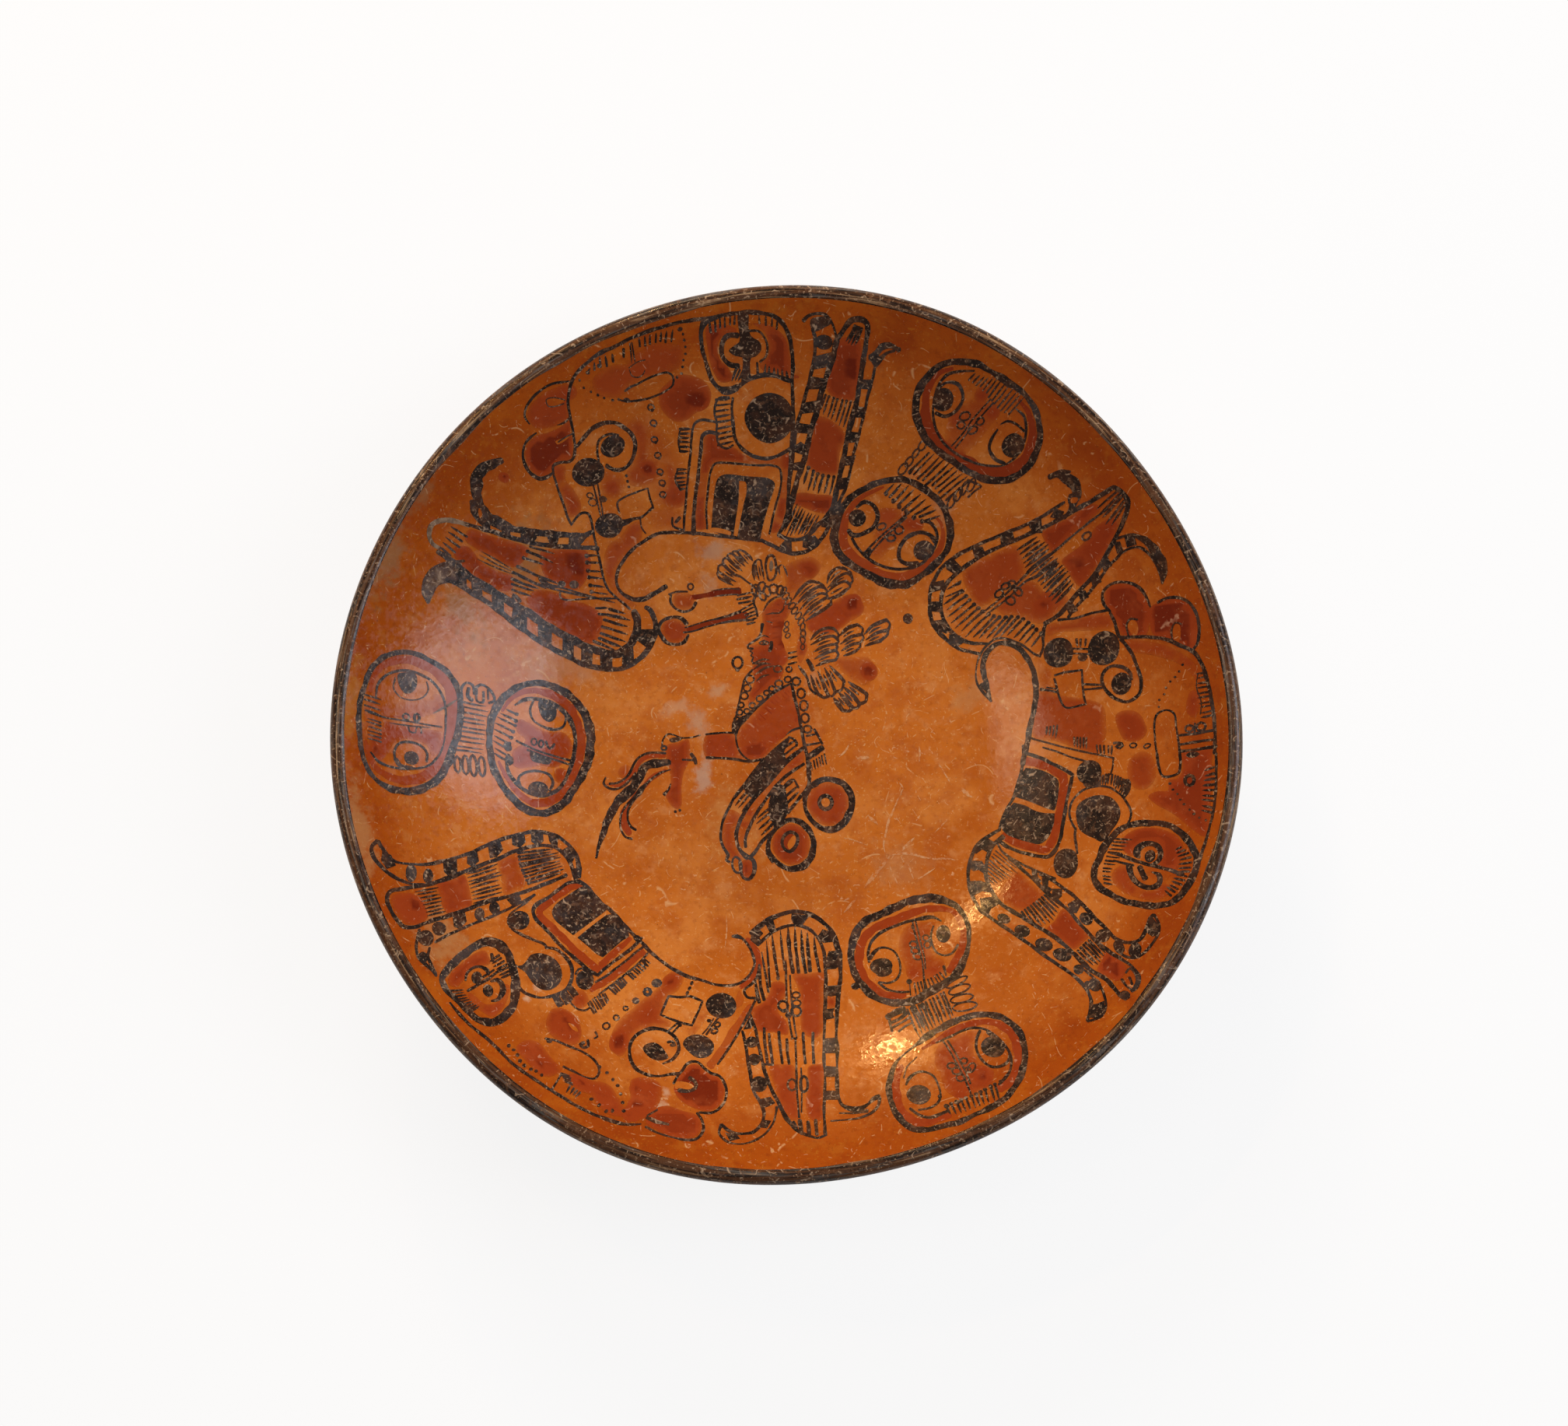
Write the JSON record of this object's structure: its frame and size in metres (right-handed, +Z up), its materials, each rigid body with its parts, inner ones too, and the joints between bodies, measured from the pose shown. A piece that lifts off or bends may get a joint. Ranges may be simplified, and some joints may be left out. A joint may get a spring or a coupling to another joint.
{
  "type": "polychrome pottery plate",
  "caption": "Round-sided pottery plate with a flat base and a rounded lip, one hand-built clay body for serving food or for display.",
  "frame": {"origin": "centre of the flat base, on the face that the plate rests on", "axes": "+Z up, out of the open side; +Y towards the edge that is uppermost in the picture"},
  "size_m": [0.3309, 0.33, 0.0606],
  "materials": {
    "orange_slip": "burnished orange slip over fired clay, satin",
    "red_slip": "thin iron-red slip wash, satin",
    "black_slip": "brown-black slip, worn in specks, satin"
  },
  "bodies": {
    "root": {"fired_clay_plate": "orange_slip"}
  },
  "joints": []
}
